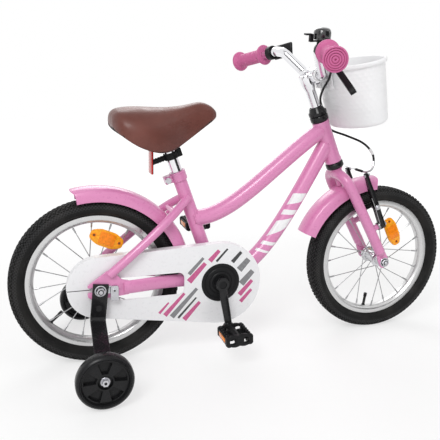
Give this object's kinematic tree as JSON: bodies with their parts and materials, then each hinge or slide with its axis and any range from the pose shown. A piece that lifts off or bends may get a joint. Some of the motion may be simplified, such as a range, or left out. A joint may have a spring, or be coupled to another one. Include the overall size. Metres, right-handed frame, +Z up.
{
  "type": "child's bicycle",
  "caption": "Child's bicycle with a low curved frame, stabilisers, full chain guard, mudguards, front basket, bell, hand brake and reflectors.",
  "frame": {"origin": "on the ground, midway between the two wheel axles and on the centre plane", "axes": "+X forward, +Y to the rider's left, +Z up"},
  "size_m": [1.012, 0.508, 0.6943],
  "materials": {
    "pink_paint": "glossy pink paint",
    "black_plastic": "fine-grained black plastic",
    "black_steel": "glossy black paint on steel",
    "white_plastic": "smooth white plastic",
    "chrome": "bright chrome plating",
    "silver_alloy": "satin silver alloy",
    "zinc_steel": "zinc-plated steel",
    "tyre_rubber": "matt black tyre rubber",
    "pink_rubber": "soft deep pink rubber",
    "brown_cover": "smooth brown saddle cover",
    "orange_reflector": "clear orange reflector plastic",
    "red_reflector": "red reflector plastic in a black mount",
    "wheel_plastic": "moulded black wheel plastic"
  },
  "bodies": {
    "frame": {"head_tube": "pink_paint", "upper_headset_cup": "black_steel", "lower_headset_cup": "black_steel", "seat_tube": "pink_paint", "top_tube": "pink_paint", "down_tube": "pink_paint", "right_stays": "pink_paint", "left_stays": "pink_paint", "seat_clamp": "pink_paint", "seat_clamp_bolt": "zinc_steel", "stay_bridge": "pink_paint", "chain_guard": "white_plastic", "chain_guard_cap": "white_plastic", "chain": "zinc_steel", "right_chain_tug": "zinc_steel", "left_chain_tug": "zinc_steel", "rear_mudguard": "pink_paint", "rear_axle": "zinc_steel", "right_stabiliser_bracket": "black_steel", "left_stabiliser_bracket": "black_steel"},
    "rear_wheel": {"rear_tyre": "tyre_rubber", "rear_rim": "silver_alloy", "rear_hub": "silver_alloy", "rear_wheel_reflector": "orange_reflector"},
    "sprocket": {"rear_sprocket": "zinc_steel"},
    "front_wheel": {"front_tyre": "tyre_rubber", "front_rim": "silver_alloy", "front_hub": "silver_alloy", "front_wheel_reflector": "orange_reflector"},
    "crank": {"crank_spindle": "zinc_steel", "crank_cover": "black_plastic", "chainring": "black_steel", "right_crank": "black_steel", "left_crank": "black_steel"},
    "right_pedal": {"right_pedal": "black_plastic"},
    "left_pedal": {"left_pedal": "black_plastic"},
    "right_stabiliser": {"right_stabiliser_wheel": "wheel_plastic"},
    "left_stabiliser": {"left_stabiliser_wheel": "wheel_plastic"},
    "steering": {"fork": "pink_paint", "headset_locknut": "black_steel", "handlebar": "chrome", "stem": "chrome", "brake_cable": "black_plastic", "right_grip": "pink_rubber", "left_grip": "pink_rubber", "lever_bracket": "black_plastic", "front_reflector": "black_plastic", "bell": "black_steel", "basket": "white_plastic", "basket_bracket": "white_plastic", "front_mudguard": "pink_paint", "front_axle": "zinc_steel"},
    "lever": {"brake_lever": "black_plastic"},
    "bell_thumb": {"bell_lever": "black_plastic"},
    "right_brake": {"right_brake_arm": "black_steel"},
    "left_brake": {"left_brake_arm": "black_steel"},
    "seat": {"seat_post": "chrome", "saddle_clamp": "zinc_steel", "saddle": "brown_cover", "rear_reflector": "red_reflector"}
  },
  "joints": [
    {"name": "steering_turn", "type": "hinge", "parent": "frame", "child": "steering", "pos_m": [0.20604, 0, 0.41103], "axis": [-0.3987, 0, 0.9171], "range_deg": [-45, 45]},
    {"name": "front_wheel_spin", "type": "hinge", "parent": "steering", "child": "front_wheel", "pos_m": [0.332, 0, 0.174], "axis": [0, 1, 0], "continuous": true},
    {"name": "rear_wheel_spin", "type": "hinge", "parent": "frame", "child": "rear_wheel", "pos_m": [-0.332, 0, 0.174], "axis": [0, 1, 0], "continuous": true},
    {"name": "crank_turn", "type": "hinge", "parent": "frame", "child": "crank", "pos_m": [-0.076, 0, 0.1625], "axis": [0, 1, 0], "continuous": true},
    {"name": "sprocket_turn", "type": "hinge", "parent": "frame", "child": "sprocket", "pos_m": [-0.332, 0, 0.174], "axis": [0, 1, 0], "continuous": true},
    {"name": "right_pedal_spin", "type": "hinge", "parent": "crank", "child": "right_pedal", "pos_m": [-0.06483, -0.119, 0.07017], "axis": [0, 1, 0], "continuous": true},
    {"name": "left_pedal_spin", "type": "hinge", "parent": "crank", "child": "left_pedal", "pos_m": [-0.08717, 0.119, 0.25483], "axis": [0, 1, 0], "continuous": true},
    {"name": "right_stabiliser_spin", "type": "hinge", "parent": "frame", "child": "right_stabiliser", "pos_m": [-0.3444, -0.208, 0.056], "axis": [0, 1, 0], "continuous": true},
    {"name": "left_stabiliser_spin", "type": "hinge", "parent": "frame", "child": "left_stabiliser", "pos_m": [-0.3444, 0.208, 0.056], "axis": [0, 1, 0], "continuous": true},
    {"name": "brake_lever_squeeze", "type": "hinge", "parent": "steering", "child": "lever", "pos_m": [0.11491, -0.14803, 0.61972], "axis": [-0.7459, 0.3572, -0.5621], "range_deg": [0, 25], "stiffness_Nm_per_rad": 0.3, "springref_deg": -17.19},
    {"name": "right_brake_close", "type": "hinge", "parent": "steering", "child": "right_brake", "pos_m": [0.3201, -0.042, 0.26533], "axis": [-0.9171, 0, -0.3987], "range_deg": [0, 2.4]},
    {"name": "left_brake_close", "type": "hinge", "parent": "steering", "child": "left_brake", "pos_m": [0.3201, 0.042, 0.26533], "axis": [0.9171, 0, 0.3987], "range_deg": [0, 2.4]},
    {"name": "bell_lever_push", "type": "hinge", "parent": "steering", "child": "bell_thumb", "pos_m": [0.09223, -0.1036, 0.66711], "axis": [-0.0546, -0.1593, 0.9857], "range_deg": [0, 20], "stiffness_Nm_per_rad": 0.02, "springref_deg": -11.46},
    {"name": "seat_height", "type": "slide", "parent": "frame", "child": "seat", "axis": [-0.3404, 0, 0.9403], "range_m": [-0.025, 0.025]}
  ],
  "couplings": [
    {"joint": "sprocket_turn", "follows": "crank_turn", "ratio": 2},
    {"joint": "right_brake_close", "follows": "brake_lever_squeeze", "ratio": 0.096},
    {"joint": "left_brake_close", "follows": "brake_lever_squeeze", "ratio": 0.096}
  ]
}
